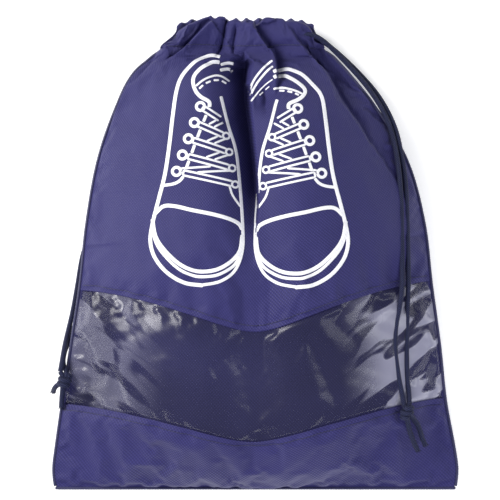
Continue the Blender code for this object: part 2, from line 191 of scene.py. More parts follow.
def smooth_value(points, value, at):
    """One column's value where the first column is at, on a curve through every point."""
    count = len(points)
    i = 0
    while i < count - 2 and at > points[i + 1][0]:
        i += 1
    low, high = points[i], points[i + 1]
    before, after = points[max(i - 1, 0)], points[min(i + 2, count - 1)]
    span = high[0] - low[0]
    slope_low = (high[value] - before[value]) / (high[0] - before[0])
    slope_high = (after[value] - low[value]) / (after[0] - low[0])
    t = (at - low[0]) / span
    return ((2 * t ** 3 - 3 * t ** 2 + 1) * low[value] + (t ** 3 - 2 * t ** 2 + t) * span * slope_low
            + (3 * t ** 2 - 2 * t ** 3) * high[value] + (t ** 3 - t ** 2) * span * slope_high)


def column(points, value, low, high, count=1601):
    """A fast look-up of one column: a function of the first column's value, for whole arrays."""
    keys = np.linspace(low, high, count)
    values = np.array([smooth_value(points, value, k) for k in keys])
    return lambda at: np.interp(at, keys, values)


STATION = [column(STATIONS, v, 0, CHANNEL_LINE) for v in range(8)]
front_edge_y = column(FRONT_EDGE, 1, FRONT_EDGE[0][0], FRONT_EDGE[-1][0])


def spread(route, spacing):
    """Points about spacing apart on a smooth curve through the route."""
    points = [Vector(p) for p in route]
    padded = [2 * points[0] - points[1], *points, 2 * points[-1] - points[-2]]
    found = []
    for before, low, high, after in zip(padded, padded[1:], padded[2:], padded[3:]):
        steps = max(1, round((high - low).length / spacing))
        for step in range(steps):
            t = step / steps
            found.append(0.5 * (2 * low + (high - before) * t
                                + (2 * before - 5 * low + 4 * high - after) * t ** 2
                                + (3 * low - before - 3 * high + after) * t ** 3))
    return [*found, points[-1]]


# ---- The cloth: surfaces over (across, height), as whole arrays ----
def ease(t):
    t = np.clip(t, 0, 1)
    return t * t * (3 - 2 * t)


def bell(d, width):
    return np.exp(-(d / width) ** 2)


def directions(points):
    """Unit vectors along a line of points."""
    along = np.gradient(points, axis=0)
    return along / np.maximum(np.linalg.norm(along, axis=1), 1e-9)[:, None]


def sideways(along):
    """Level unit vectors square to a line's directions; going down the bag, to the viewer's right."""
    return np.stack([-along[:, 1], along[:, 0]], axis=1)


def noise(u, v, seed, cells):
    """Smooth waves in many directions, about one metre over cells long, mostly between -1 and 1."""
    draw = np.random.default_rng(seed)
    total = np.zeros_like(u)
    for _ in range(9):
        angle, phase, scale = draw.uniform(0, math.pi), draw.uniform(0, 6.28), draw.uniform(0.6, 1.5)
        bend = 0.35 * np.sin(cells * 2.1 * (u * math.sin(angle) - v * math.cos(angle)) + phase * 2)
        total += np.sin(cells * 6.28 * scale * (u * math.cos(angle) + v * math.sin(angle)) + phase + bend)
    return total / 4.5


class Crease:
    """A line along the cloth, seen from above, with what it does on its left and right."""

    def __init__(self, route, left, right, width_left, width_right, start=0.02, stop=0.35, edge=0.0007,
                 power=(1, 1)):
        self.points = np.array([p[:2] for p in spread([(x, y, 0) for x, y in route], 0.0012)])
        steps = np.linalg.norm(np.diff(self.points, axis=0), axis=1)
        self.along = np.concatenate([[0], np.cumsum(steps)]) / steps.sum()
        self.normal = sideways(directions(self.points))
        self.left, self.right, self.widths = left, right, (width_left, width_right)
        self.start, self.stop, self.edge, self.power = start, stop, edge, power

    def lift(self, x, y):
        flat = np.stack([x.ravel(), y.ravel()], axis=1)
        lo, hi = self.points.min(0) - 4 * max(self.widths), self.points.max(0) + 4 * max(self.widths)
        near = np.all((flat > lo) & (flat < hi), axis=1)
        found = np.zeros(len(flat))
        if near.any():
            some = flat[near]
            nearest = np.empty(len(some), int)
            for i in range(0, len(some), 4000):
                gaps = ((some[i:i + 4000, None, :] - self.points[None]) ** 2).sum(2)
                nearest[i:i + 4000] = gaps.argmin(1)
            away = some - self.points[nearest]
            side = (away * self.normal[nearest]).sum(1)
            beyond = np.sqrt(np.maximum((away ** 2).sum(1) - side ** 2, 0))
            t = self.along[nearest]
            strength = ease((t + 1e-6) / max(self.start, 1e-6)) * ease((1 - t) / self.stop)
            strength *= np.exp(-(beyond / 0.004) ** 2)
            step = (1 + np.tanh(side / self.edge)) / 2
            reach = [np.exp(-(np.abs(side) / w) ** p) for w, p in zip(self.widths, self.power)]
            value = (1 - step) * self.left * reach[0] + step * self.right * reach[1]
            found[near] = value * strength
        return found.reshape(x.shape)


# Each route goes down the bag; what it does at its left and right is as the viewer sees it
FOLDS = [
    # fold B over the recess at its left
    Crease([(-0.0335, 0.1805), (-0.0390, 0.1758), (-0.0495, 0.1645), (-0.0568, 0.1566), (-0.0630, 0.1515),
            (-0.0698, 0.1492)], -0.0078, 0.0050, 0.0085, 0.0110, start=0.02, stop=0.30),
    # the small ridge of fold A in the recess
    Crease([(-0.0480, 0.1790), (-0.0535, 0.1730), (-0.0592, 0.1610), (-0.0635, 0.1545)],
           0.0028, 0.0028, 0.0022, 0.0026, start=0.25, stop=0.5, edge=0.0012),
    # the gash between folds B and C
    Crease([(-0.0222, 0.1815), (-0.0240, 0.1740), (-0.0262, 0.1620), (-0.0276, 0.1554), (-0.0300, 0.1470)],
           -0.0085, -0.0085, 0.0017, 0.0020, start=0.02, stop=0.45, edge=0.0012),
    # the short gash between folds C and D
    Crease([(-0.0150, 0.1800), (-0.0152, 0.1732), (-0.0168, 0.1625), (-0.0160, 0.1530)],
           -0.0060, -0.0060, 0.0018, 0.0016, start=0.3, stop=0.3, edge=0.0012),
    # fold D over the deep valley at its left
    Crease([(-0.0090, 0.1600), (-0.0062, 0.1503), (-0.0058, 0.1366), (-0.0055, 0.1197), (-0.0040, 0.1059),
            (-0.0017, 0.0863), (0.0006, 0.0635), (0.0017, 0.0407), (0.0006, 0.0142), (-0.0010, -0.0150)],
           -0.0290, 0.0030, 0.0125, 0.0200, start=0.12, stop=0.50, power=(1.7, 1)),
    # fold D over fold E at its right
    Crease([(-0.0005, 0.1790), (0.0000, 0.1748), (0.0068, 0.1652), (0.0138, 0.1555), (0.0155, 0.1447),
            (0.0143, 0.1278), (0.0120, 0.1170)], 0.0045, -0.0090, 0.0100, 0.0100, start=0.02, stop=0.40),
    # the ridge that runs down the right shoulder, and the recess beside it
    Crease([(0.0218, 0.1810), (0.0245, 0.1775), (0.0286, 0.1732), (0.0347, 0.1634), (0.0442, 0.1528),
            (0.0539, 0.1395), (0.0602, 0.1279), (0.0665, 0.1159), (0.0753, 0.1032), (0.0853, 0.0867),
            (0.0925, 0.0781), (0.1003, 0.0681),
            (0.1051, 0.0585), (0.1090, 0.0474)], 0.0050, -0.0130, 0.0120, 0.0110, start=0.26, stop=0.70,
           edge=0.0010),
    # the hollow in fold D, beside the valley
    Crease([(0.0030, 0.1330), (0.0052, 0.1240), (0.0068, 0.1120), (0.0072, 0.0980)],
           -0.0080, -0.0080, 0.0060, 0.0060, start=0.4, stop=0.5, edge=0.0040),
    # the creases from its packing, at both sides
    Crease([(-0.1350, 0.0050), (-0.1180, 0.0062), (-0.0950, 0.0080)], -0.0012, 0.0012, 0.0060, 0.0060,
           start=0.01, stop=0.8, edge=0.0006),
    Crease([(0.1340, 0.0150), (0.1200, 0.0140), (0.1030, 0.0125)], 0.0012, -0.0012, 0.0060, 0.0060,
           start=0.01, stop=0.8, edge=0.0006),
]


def in_channel(height):
    """Share of the way from the channel's stitching to the mouth's folded edge."""
    return np.clip((height - CHANNEL_LINE) / (CHANNEL_TOP - CHANNEL_LINE), 0, 1)


def edges(height):
    """x of the left and right edges and y of the sides at a height."""
    h = np.minimum(height, CHANNEL_LINE)
    over = ease(in_channel(height))
    left = STATION[LEFT_X](h) + SEAM_INSET * 0.6
    right = STATION[RIGHT_X](h) - SEAM_INSET * 0.6
    left = left + (FRONT_EDGE[0][0] - left) * over - 0.0040 * bell(height - CHANNEL_LINE, 0.010)
    right = right + (FRONT_EDGE[-1][0] - right) * over
    return left, right, np.maximum(STATION[SIDE_Y](h), CLOTH_LOW_Y)


def hang(across):
    """How a level line of the front's cloth dips from the side seams, 0, to the middle, 1."""
    rounding = 0.12
    away = (np.hypot(across, rounding) - rounding) / (np.hypot(1, rounding) - rounding)
    return (1 - np.minimum(away, 1)) ** 1.55


def front_surface(across, height):
    """The outer face of the front, from the bottom seam to the mouth's folded edge."""
    up = np.clip(height / CHANNEL_LINE, 0, 1)
    level = height + TILT * across * 4 * up * (1 - up)
    side_y = edges(level)[2]
    middle_y = np.maximum(STATION[MIDDLE_Y](np.minimum(level, CHANNEL_LINE)), CLOTH_LOW_Y)
    y = side_y + (middle_y - side_y) * hang(across)
    # the filled shape follows the contents, however the cloth hangs over them
    height = level + (side_y - middle_y) * (1 - np.abs(across) ** 1.8 - hang(across))
    h = np.minimum(height, CHANNEL_LINE)
    left, right, _ = edges(height)
    x = left + (right - left) * (across + 1) / 2
    over = in_channel(height)
    y += (front_edge_y(x) - CHANNEL_Y) * over
    side_z = STATION[SIDE_Z](h) + 0.0005 + 0.0098 * ease(over * 2.2)
    dome = 1 - np.abs(across) ** (2.3 + 7 * ease((height - 0.395) / 0.028))
    crown = STATION[CROWN_Z](h) + 0.0072 * ease((height - 0.400) / 0.030)
    z = side_z + (crown - side_z) * dome
    z -= STATION[VALLEY](h) * bell(across, 0.17)
    inner = ease((1 - np.abs(across)) / 0.10)
    folds = sum(fold.lift(x, y) for fold in FOLDS)
    z += folds * inner
    # loose cloth: broad sags, and small puckers where the seams draw it in
    u, v = across * HALF_FLAT, height
    amount = 0.0016 * ease(height / 0.03) * inner
    z += amount * noise(u, v, 5, 9.0) + 0.00035 * inner * noise(u, v, 6, 34.0)
    # the right cord presses the window in where it lies on it
    z -= 0.0012 * bell(x - 0.1125, 0.010) * bell(y + 0.088, 0.022)
    # the front and the back meet in the bottom seam
    return x, y, FRONT_LOW_Z + (z - FRONT_LOW_Z) * ease(height / 0.008)


def settle(surface, rows=96, columns=72, frames=20, cap=0.004):
    """The surface once its cloth has been simulated: a little too long for its seams, it buckles softly."""
    across = np.linspace(-1, 1, columns)
    heights = np.linspace(0, CHANNEL_TOP, rows)
    cloth = grid_mesh("settling", across, heights, surface)
    start = np.array([v.co[:] for v in cloth.data.vertices])
    row, column_of = np.divmod(np.arange(rows * columns), columns)
    held = cloth.vertex_groups.new(name="held")
    border = (row == 0) | (row == rows - 1) | (column_of == 0) | (column_of == columns - 1)
    for height in (WINDOW_LOW, WINDOW_HIGH):
        border |= row == round(height / CHANNEL_TOP * (rows - 1))
    held.add([int(i) for i in np.flatnonzero(border)], 1.0, "REPLACE")
    held.add([int(i) for i in np.flatnonzero(~border)], 0.0, "REPLACE")
    modifier = cloth.modifiers.new("cloth", "CLOTH")
    put(modifier.settings, quality=6, mass=0.08, tension_stiffness=12, compression_stiffness=12,
        shear_stiffness=6, bending_stiffness=0.35, air_damping=3, vertex_group_mass="held",
        shrink_min=-0.03, shrink_max=-0.03)
    modifier.settings.effector_weights.gravity = 0
    modifier.collision_settings.use_self_collision = False
    put(modifier.point_cache, frame_start=1, frame_end=frames)
    scene = bpy.context.scene
    for frame_number in range(1, frames + 1):
        scene.frame_set(frame_number)
    settled = cloth.evaluated_get(bpy.context.evaluated_depsgraph_get()).to_mesh()
    moved = np.array([v.co[:] for v in settled.vertices]) - start
    mesh = cloth.data
    bpy.data.objects.remove(cloth)
    bpy.data.meshes.remove(mesh)
    scene.frame_set(1)
    far = np.linalg.norm(moved, axis=1, keepdims=True)
    moved *= np.tanh(far / cap) * cap / np.maximum(far, 1e-9)
    grid = moved.reshape(rows, columns, 3)

    def after(a, h):
        x, y, z = surface(a, h)
        dx, dy, dz = between(grid, (np.clip(h, 0, CHANNEL_TOP) / CHANNEL_TOP * (rows - 1)),
                             (a + 1) / 2 * (columns - 1))
        return x + dx, y + dy, z + dz
    return after


def between(grid, row, column_at):
    """Smooth values between the points of a grid, one array for each of its three columns."""
    rows, columns = grid.shape[:2]
    i = np.clip(np.floor(row).astype(int), 0, rows - 2)
    j = np.clip(np.floor(column_at).astype(int), 0, columns - 2)

    def weights(t):
        return (-0.5 * t + t * t - 0.5 * t ** 3, 1 - 2.5 * t * t + 1.5 * t ** 3,
                0.5 * t + 2 * t * t - 1.5 * t ** 3, -0.5 * t * t + 0.5 * t ** 3)
    total = np.zeros((*np.shape(row), 3))
    for a, w in zip((-1, 0, 1, 2), weights(row - i)):
        for b, v in zip((-1, 0, 1, 2), weights(column_at - j)):
            total += (w * v)[..., None] * grid[np.clip(i + a, 0, rows - 1), np.clip(j + b, 0, columns - 1)]
    return total[..., 0], total[..., 1], total[..., 2]


def grid_mesh(name, across, height, surface):
    """A sheet over a grid of (across, height), keeping its place on the flat cloth."""
    a, h = np.meshgrid(across, height)
    x, y, z = surface(a, h)
    rows, columns = a.shape
    co = np.stack([x, y, z], axis=2).reshape(-1, 3)
    index = np.arange(rows * columns).reshape(rows, columns)
    corners = [index[:-1, :-1], index[:-1, 1:], index[1:, 1:], index[1:, :-1]]
    quads = np.stack(corners, axis=2).reshape(-1, 4)
    return sheet_object(name, co, quads, np.stack([a.ravel() * HALF_FLAT, h.ravel()], axis=1))


def sheet_object(name, co, quads, flat):
    """A sheet of quads, with each point's place on the flat cloth."""
    mesh = bpy.data.meshes.new(name)
    mesh.from_pydata([], [], [])
    mesh.vertices.add(len(co))
    mesh.vertices.foreach_set("co", co.astype(np.float32).ravel())
    mesh.loops.add(len(quads) * 4)
    mesh.loops.foreach_set("vertex_index", quads.astype(np.int32).ravel())
    mesh.polygons.add(len(quads))
    mesh.polygons.foreach_set("loop_start", np.arange(0, len(quads) * 4, 4, dtype=np.int32))
    mesh.update(calc_edges=True)
    layer = mesh.uv_layers.new(name="flat")
    layer.data.foreach_set("uv", flat[quads.ravel()].astype(np.float32).ravel())
    mesh.polygons.foreach_set("use_smooth", np.ones(len(quads), bool))
    mesh.update()
    return link(bpy.data.objects.new(name, mesh))


# ---- Materials ----
class Nodes:
    """A material under construction: short calls for the shader nodes it needs."""

    def __init__(self, name):
        self.made = bpy.data.materials.new(name)
        self.made.use_nodes = True
        self.tree = self.made.node_tree
        self.shader = self.tree.nodes["Principled BSDF"]

    def feed(self, socket, value):
        """Links a node's output to an input, or gives the input a fixed value."""
        if isinstance(value, bpy.types.NodeSocket):
            self.tree.links.new(value, socket)
        else:
            socket.default_value = value

    def add(self, kind, inputs=(), **settings):
        node = put(self.tree.nodes.new(kind), **settings)
        for key, value in dict(inputs).items():
            self.feed(node.inputs[key], value)
        return node

    def place(self):
        return self.add("ShaderNodeTexCoord").outputs["Object"]

    def flat(self):
        """The place on the flat cloth, or turn and length along a cord, and its two parts."""
        found = self.add("ShaderNodeUVMap", uv_map="flat").outputs["UV"]
        return found, *self.add("ShaderNodeSeparateXYZ", {"Vector": found}).outputs[:2]

    def step(self, value, low, high):
        """A smooth step from 0 at low to 1 at high."""
        return self.add("ShaderNodeMapRange", {"Value": value, "From Min": low, "From Max": high},
                        interpolation_type="SMOOTHSTEP").outputs[0]

    def math(self, operation, a, b=0.0, c=0.0):
        return self.add("ShaderNodeMath", {0: a, 1: b, 2: c}, operation=operation).outputs[0]

    def times(self, a, b, plus=None):
        """a * b, or a * b + plus."""
        return self.math("MULTIPLY", a, b) if plus is None else self.math("MULTIPLY_ADD", a, b, plus)

    def noise(self, vector, scale, detail=2.0, roughness=0.5):
        return self.add("ShaderNodeTexNoise", {"Vector": vector, "Scale": scale, "Detail": detail,
                                               "Roughness": roughness}).outputs["Fac"]

    def ramp(self, value, *stops):
        node = self.add("ShaderNodeValToRGB", {"Fac": value})
        while len(node.color_ramp.elements) < len(stops):
            node.color_ramp.elements.new(0.5)
        for element, (at, colour) in zip(node.color_ramp.elements, stops):
            element.position = at
            element.color = (*colour, 1)
        return node.outputs["Color"]

    def set(self, **values):
        for key, value in values.items():
            self.feed(self.shader.inputs[key.replace("_", " ")], value)

    def bump(self, height, strength, distance, normal=None):
        inputs = {"Height": height, "Strength": strength, "Distance": distance}
        if normal is not None:
            inputs["Normal"] = normal
        return self.add("ShaderNodeBump", inputs).outputs["Normal"]


def embossed(n, pitch=0.0019):
    """Height of the pressed ribs and bond points on the non-woven cloth, from its flat coordinates."""
    flat, u, v = n.flat()
    turns = 2 * math.pi / (pitch * math.sqrt(2))
    down = n.math("SINE", n.times(n.math("ADD", u, v), turns))
    up = n.math("SINE", n.times(n.math("SUBTRACT", u, v), turns))
    ribs = n.times(down, 0.26, 0.5)
    points = n.times(up, n.times(down, 0.4, 0.6))
    return flat, n.times(points, 0.28, ribs)


def cloth_material(name, colour=(0.032, 0.030, 0.122), depth=0.00050):
    n = Nodes(name)
    flat, relief = embossed(n)
    fibres = n.noise(flat, 1500, 3.0, 0.7)
    cloudy = n.noise(n.place(), 22, 3.0)
    shade = n.times(relief, 0.62, n.times(fibres, 0.26, 0.46))
    shade = n.times(shade, n.times(cloudy, 0.22, 0.89))
    dark = tuple(c * 0.45 for c in colour)
    bright = tuple(min(1, c * 1.25) for c in colour)
    tint = n.ramp(shade, (0.45, dark), (1.05 / 1.2, colour), (1.0, bright))
    n.set(Base_Color=tint, Roughness=n.times(relief, -0.16, 0.62), Specular_IOR_Level=0.22,
          Sheen_Weight=0.04, Sheen_Roughness=0.45, Sheen_Tint=(0.62, 0.64, 1.0, 1))
    fine = n.bump(fibres, 0.35, 0.00006)
    n.set(Normal=n.bump(relief, 0.75, depth, fine))
    return n.made


def floor_material():
    n = Nodes("studio_floor")
    pale = n.ramp(n.noise(n.place(), 3.0), (0.3, (0.94, 0.94, 0.94)), (0.7, (0.955, 0.955, 0.955)))
    n.set(Base_Color=pale, Roughness=0.8, Emission_Strength=0.38, Emission_Color=(1, 1, 1, 1))
    return n.made


def studio():
    mesh = bpy.data.meshes.new("floor")
    corners = [(x, y, -0.0003) for x, y in ((-3, -3), (3, -3), (3, 3), (-3, 3))]
    mesh.from_pydata(corners, [], [(0, 1, 2, 3)])
    mesh.materials.append(floor_material())
    link(bpy.data.objects.new("floor", mesh))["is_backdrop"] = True
    world = bpy.data.worlds.new("studio")
    world.use_nodes = True
    world.node_tree.nodes["Background"].inputs["Color"].default_value = (0.95, 0.97, 1.0, 1)
    world.node_tree.nodes["Background"].inputs["Strength"].default_value = 0.2
    bpy.context.scene.world = world
    bpy.context.scene.view_settings.view_transform = "Standard"
    softbox("key", (-1.22, 0.55, 1.05), (0.9, 1.0), 36, (1.0, 0.985, 0.97))
    softbox("front", (0.35, -1.15, 1.25), (1.4, 0.9), 19, mirrored=False)
    softbox("right", (1.3, 0.1, 1.0), (0.7, 1.2), 7, (0.95, 0.97, 1.0))


# ---- Pieces ----
THICK = 0.0005                      # the fabric as it shows
ROLL = 0.0026                       # how tightly the channel turns over at the mouth
TURN = math.pi * ROLL * 0.9         # length of cloth in that turn


def thicken(piece, thickness, side=-1):
    put(piece.modifiers.new("thickness", "SOLIDIFY"), thickness=thickness, offset=side)


def finish_piece(piece, material, body, slot, *nodes):
    """Gives a piece its material and its CAD body, and hides the CAD nodes that it stands for. The slot is
    not used.
    """
    piece.data.materials.append(material)
    if body:
        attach(piece, body)
    if nodes:
        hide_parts(*nodes)


def with_channel(surface, turn):
    """The surface, carried on past the mouth's edge and rolled back inside as the drawcord channel."""
    def carried(across, height):
        beyond = height - CHANNEL_TOP
        x, y, z = surface(across, np.minimum(height, CHANNEL_TOP))
        angle = np.clip(beyond / TURN, 0, 1) * math.pi
        back = np.clip(beyond - TURN, 0, CHANNEL_TOP - CHANNEL_LINE)
        bx, by, bz = surface(across, CHANNEL_TOP - back)
        past = beyond > 0
        inside = beyond > TURN
        y = np.where(past, np.where(inside, by, y + ROLL * np.sin(angle) * 0.8), y)
        x = np.where(inside, bx, x)
        z = np.where(past, np.where(inside, bz - turn * 2 * ROLL, z - turn * ROLL * (1 - np.cos(angle))), z)
        return x, y, z
    return carried


def back_surface(across, height):
    """The outer face of the back: on the floor, turned up to the side seams, pleated at the mouth."""
    h = np.minimum(height, CHANNEL_LINE)
    left, right, side_y = edges(height)
    over = in_channel(height)
    x = left + (right - left) * (across + 1) / 2
    y = side_y + over * (BACK_EDGE_Y - 0.0060 * np.abs(across) ** 6 - CHANNEL_Y)
    half_width = (STATION[RIGHT_X](h) - STATION[LEFT_X](h)) / 2
    rim = ease(1 - (1 - np.abs(across)) * half_width / RIM_WIDTH)
    z = np.maximum(STATION[SIDE_Z](h) - 0.0005, 0.0006) * rim
    near = ease((height - 0.23) / 0.17)
    folds = 0.5 + 0.5 * np.sin(across * 32 + 1.4 * np.sin(across * 7 + 0.6) + 5 * (height - 0.42))
    z += near * (1 - rim) * (0.0095 * folds ** 1.2 + 0.0006)
    y += over * 0.0016 * (folds - 0.5)
    loose = ease((1 - np.abs(across)) / 0.15) * ease(height / 0.05)
    z += 0.0003 + loose * (1 - near) * 0.0006 * (1 + noise(across * HALF_FLAT, height, 11, 16.0))
    return x, y, BACK_LOW_Z + (z - BACK_LOW_Z) * ease(height / 0.006)


def panels(front, cloth):
    """The front's two pieces of cloth and the back; returns the front's upper piece."""
    inner_end = CHANNEL_TOP + TURN + CHANNEL_TOP - CHANNEL_LINE
    crowded = 0.96                  # the columns crowd together towards the side seams
    across = np.sin(np.linspace(-1, 1, 381) * math.pi / 2 * crowded) / math.sin(math.pi / 2 * crowded)
    heights = np.concatenate([np.linspace(WINDOW_HIGH, 0.34, 170, endpoint=False),
                              np.linspace(0.34, CHANNEL_TOP, 170, endpoint=False),
                              np.linspace(CHANNEL_TOP, CHANNEL_TOP + TURN, 10, endpoint=False),
                              np.linspace(CHANNEL_TOP + TURN, inner_end, 24)])
    upper = grid_mesh("front_upper_cloth", across, heights, with_channel(front, 1))
    finish_piece(upper, cloth, "bag", "non_woven_cloth", "front_upper_panel", "front_channel")
    thicken(upper, THICK)
    lower = grid_mesh("front_lower_cloth", np.linspace(-1, 1, 281), np.linspace(0, WINDOW_LOW, 75), front)
    finish_piece(lower, cloth, "bag", "non_woven_cloth", "front_lower_panel")
    thicken(lower, THICK)
    heights = np.concatenate([np.linspace(0, CHANNEL_LINE, 150, endpoint=False),
                              np.linspace(CHANNEL_LINE, CHANNEL_TOP, 16, endpoint=False),
                              np.linspace(CHANNEL_TOP, CHANNEL_TOP + TURN, 8, endpoint=False),
                              np.linspace(CHANNEL_TOP + TURN, inner_end, 16)])
    back = grid_mesh("back_cloth", np.linspace(-1, 1, 221), heights, with_channel(back_surface, -1))
    finish_piece(back, cloth, "bag", "non_woven_cloth", "back_panel", "back_channel")
    thicken(back, THICK, 1)
    return upper


def film_surface(front, across, height):
    """The clear window, under the cloth's edges, with the wrinkles of a stiff film."""
    x, y, z = front(across, height)
    u, v = across * HALF_FLAT, height
    inner = ease((1 - np.abs(across)) / 0.03)
    middle = ease((height - WINDOW_LOW) / 0.012) * ease((WINDOW_HIGH - height) / 0.012)
    slant = np.where(u < 0, 1.0, -1.0)
    along, athwart = 0.8 * u * slant + 0.6 * v, 0.6 * u * slant - 0.8 * v
    side = 0.20 + 0.80 * ease((np.abs(across) - 0.25) / 0.5)
    z += inner * middle * side * (0.0013 * noise(along * 0.45, athwart, 21, 26.0)
                                  + 0.0005 * noise(along * 0.4, athwart, 22, 70.0))
    return x, y, z - 0.0014 * (1 - middle * 0.5)


def film_material():
    """Clear film: what is behind it shows through, under reflections, a slight haze and pale patches of
    painted reflection.
    """
    n = Nodes("clear_film")
    _, u, v = n.flat()
    outward = n.math("ABSOLUTE", u)
    # strained streaks that fan out towards the side seams
    along = n.times(outward, 9.0, n.times(v, 8.0))
    athwart = n.times(outward, -17.0, n.times(v, 34.0))
    drawn = n.add("ShaderNodeCombineXYZ", {0: along, 1: athwart, 2: n.times(u, 3.0)}).outputs[0]
    streaks = n.add("ShaderNodeTexNoise", {"Vector": drawn, "Scale": 1.9, "Detail": 1.5, "Roughness": 0.45,
                                           "Distortion": 0.9}).outputs["Fac"]
    # pale patches at the sides, stronger at the right: partly the film's slight haze and partly painted
    # reflection of the softboxes
    sides = n.step(outward, 0.070, 0.115)
    patches = n.step(streaks, 0.42, 0.53)
    right = n.add("ShaderNodeMapRange", {"Value": u, "From Min": -0.05, "From Max": 0.05,
                                         "To Min": 0.45}).outputs[0]
    haze_and_painted_reflection = n.times(n.times(sides, right), patches)
    # the pale lavender colour of these patches is painted reflection, partly haze
    n.set(Base_Color=n.ramp(haze_and_painted_reflection, (0.0, (0.05, 0.05, 0.10)), (1.0, (0.42, 0.42, 0.56))), IOR=1.9,
          Specular_IOR_Level=0.5,
          Roughness=n.ramp(n.noise(n.place(), 40), (0.3, (0.22,) * 3), (0.8, (0.30,) * 3)))
    n.set(Normal=n.bump(n.times(streaks, sides), 0.35, 0.0020))
    clear = n.add("ShaderNodeBsdfTransparent", {"Color": (0.93, 0.94, 0.98, 1)}).outputs[0]
    edge = n.add("ShaderNodeLayerWeight", {"Blend": 0.25}).outputs["Facing"]
    # the patches of painted reflection also make the film less clear where they lie
    share = n.times(haze_and_painted_reflection, 0.34, n.times(edge, 0.35, 0.22))
    mixed = n.add("ShaderNodeMixShader", {0: share, 1: clear, 2: n.shader.outputs[0]}).outputs[0]
    n.tree.links.new(mixed, n.tree.nodes["Material Output"].inputs["Surface"])
    return n.made


def window(front):
    film = grid_mesh("clear_window", np.linspace(-1, 1, 321),
                     np.linspace(WINDOW_LOW - HEM * 0.8, WINDOW_HIGH + HEM * 0.8, 121),
                     lambda across, height: film_surface(front, across, height))
    finish_piece(film, film_material(), "bag", "clear_film", "window_film")


# ---- Thread, cord and seams ----
def sweep(points, radius_at, around):
    """Vertices, quads, end caps and (round, along) of a tube with radius radius_at(angle, length)."""
    path = np.array([tuple(p) for p in points])
    step = np.linalg.norm(np.diff(path, axis=0), axis=1)
    length = np.concatenate([[0], np.cumsum(step)])
    tangent = directions(path)
    up = np.array([0.0, 0.0, 1.0]) if abs(tangent[0][2]) < 0.8 else np.array([1.0, 0.0, 0.0])
    rings, frames = [], []
    angle = np.linspace(0, 2 * math.pi, around, endpoint=False)
    for place, way, at in zip(path, tangent, length):
        across = np.cross(up, way)
        across /= np.linalg.norm(across)
        up = np.cross(way, across)
        r = radius_at(angle, at)
        rings.append(place + r[:, None] * (np.cos(angle)[:, None] * across + np.sin(angle)[:, None] * up))
        frames.append(np.stack([angle / (2 * math.pi), np.full(around, at)], axis=1))
    count = len(path)
    index = np.arange(count * around).reshape(count, around)
    turned = np.roll(index, -1, axis=1)
    quads = np.stack([index[:-1], turned[:-1], turned[1:], index[1:]], axis=2).reshape(-1, 4)
    caps = [list(index[0][::-1]), list(index[-1])]
    return np.concatenate(rings), quads, caps, np.concatenate(frames)


def tube_object(name, runs, radius_at, around):
    """One object of one or more tubes, with uv (turn, length) for its material."""
    co, faces, frames, base = [], [], [], 0
    for points in runs:
        c, quads, caps, frame_uv = sweep(points, radius_at, around)
        co.append(c)
        faces += [[i + base for i in q] for q in quads.tolist()] + [[i + base for i in cap] for cap in caps]
        frames.append(frame_uv)
        base += len(c)
    co, frames = np.concatenate(co), np.concatenate(frames)
    mesh = bpy.data.meshes.new(name)
    mesh.from_pydata([tuple(c) for c in co], [], faces)
    layer = mesh.uv_layers.new(name="flat")
    vertex = np.empty(len(mesh.loops), np.int32)
    mesh.loops.foreach_get("vertex_index", vertex)
    uv = frames[vertex]
    first = np.repeat([p.loop_start for p in mesh.polygons], [p.loop_total for p in mesh.polygons])
    uv[:, 0] += (uv[first, 0] - uv[:, 0] > 0.5)
    layer.data.foreach_set("uv", uv.astype(np.float32).ravel())
    mesh.shade_smooth()
    return link(bpy.data.objects.new(name, mesh))


def braided(angle, at):
    """Radius of a braided cord: two sets of yarns that cross."""
    turn = 2 * math.pi * at / BRAID_PITCH
    yarns = 1 - np.abs(np.sin(4 * angle + 4 * turn) * np.sin(4 * angle - 4 * turn + 1.2))
    return CORD_RADIUS * (0.88 + 0.12 * yarns)


def cord_material():
    n = Nodes("braid")
    _, u, v = n.flat()
    turn = n.times(u, 8 * math.pi)
    run = n.times(v, 8 * math.pi / BRAID_PITCH)
    one = n.math("SINE", n.math("ADD", turn, run))
    two = n.math("SINE", n.math("SUBTRACT", turn, n.math("SUBTRACT", run, 1.2)))
    yarns = n.math("SUBTRACT", 1.0, n.math("ABSOLUTE", n.times(one, two)))
    fibre = n.noise(n.place(), 2600, 3.0, 0.7)
    tone = n.times(fibre, 0.35, n.times(yarns, 0.72))
    n.set(Base_Color=n.ramp(tone, (0.42, (0.002, 0.003, 0.010)), (0.66, (0.007, 0.009, 0.032)),
                            (0.90, (0.055, 0.062, 0.150))), Roughness=0.66, Specular_IOR_Level=0.18,
          Sheen_Weight=0.03, Sheen_Roughness=0.5)
    n.set(Normal=n.bump(yarns, 0.6, 0.0003, n.bump(fibre, 0.4, 0.0001)))
    return n.made


def thread_material():
    n = Nodes("thread")
    twist = n.noise(n.place(), 1800, 2.0)
    n.set(Base_Color=n.ramp(twist, (0.3, (0.016, 0.016, 0.050)), (0.7, (0.050, 0.050, 0.130))),
          Roughness=0.55, Normal=n.bump(twist, 0.4, 0.0001))
    return n.made


def square_to(way):
    """Two unit vectors square to a direction: one level, one upright."""
    side = way.cross(Vector((0, 0, 1))).normalized()
    return side, side.cross(way)


def helix_wraps(place, along, turns, radius, start, squash=0.86):
    """A coil about the way through a knot, whose ends tuck in under it."""
    way = Vector(along).normalized()
    side, up = square_to(way)
    way = (way + side * 0.28).normalized()
    count = round(turns * 22)
    points = []
    for i in range(count + 1):
        t = i / count
        angle = start + turns * 2 * math.pi * t
        tuck = float(1 - 0.55 * (bell(t, 0.05) + bell(1 - t, 0.05)))
        points.append(Vector(place) + way * (t - 0.5) * turns * 0.0037 + radius * tuck
                      * (side * math.cos(angle) + up * squash * math.sin(angle)))
    return points


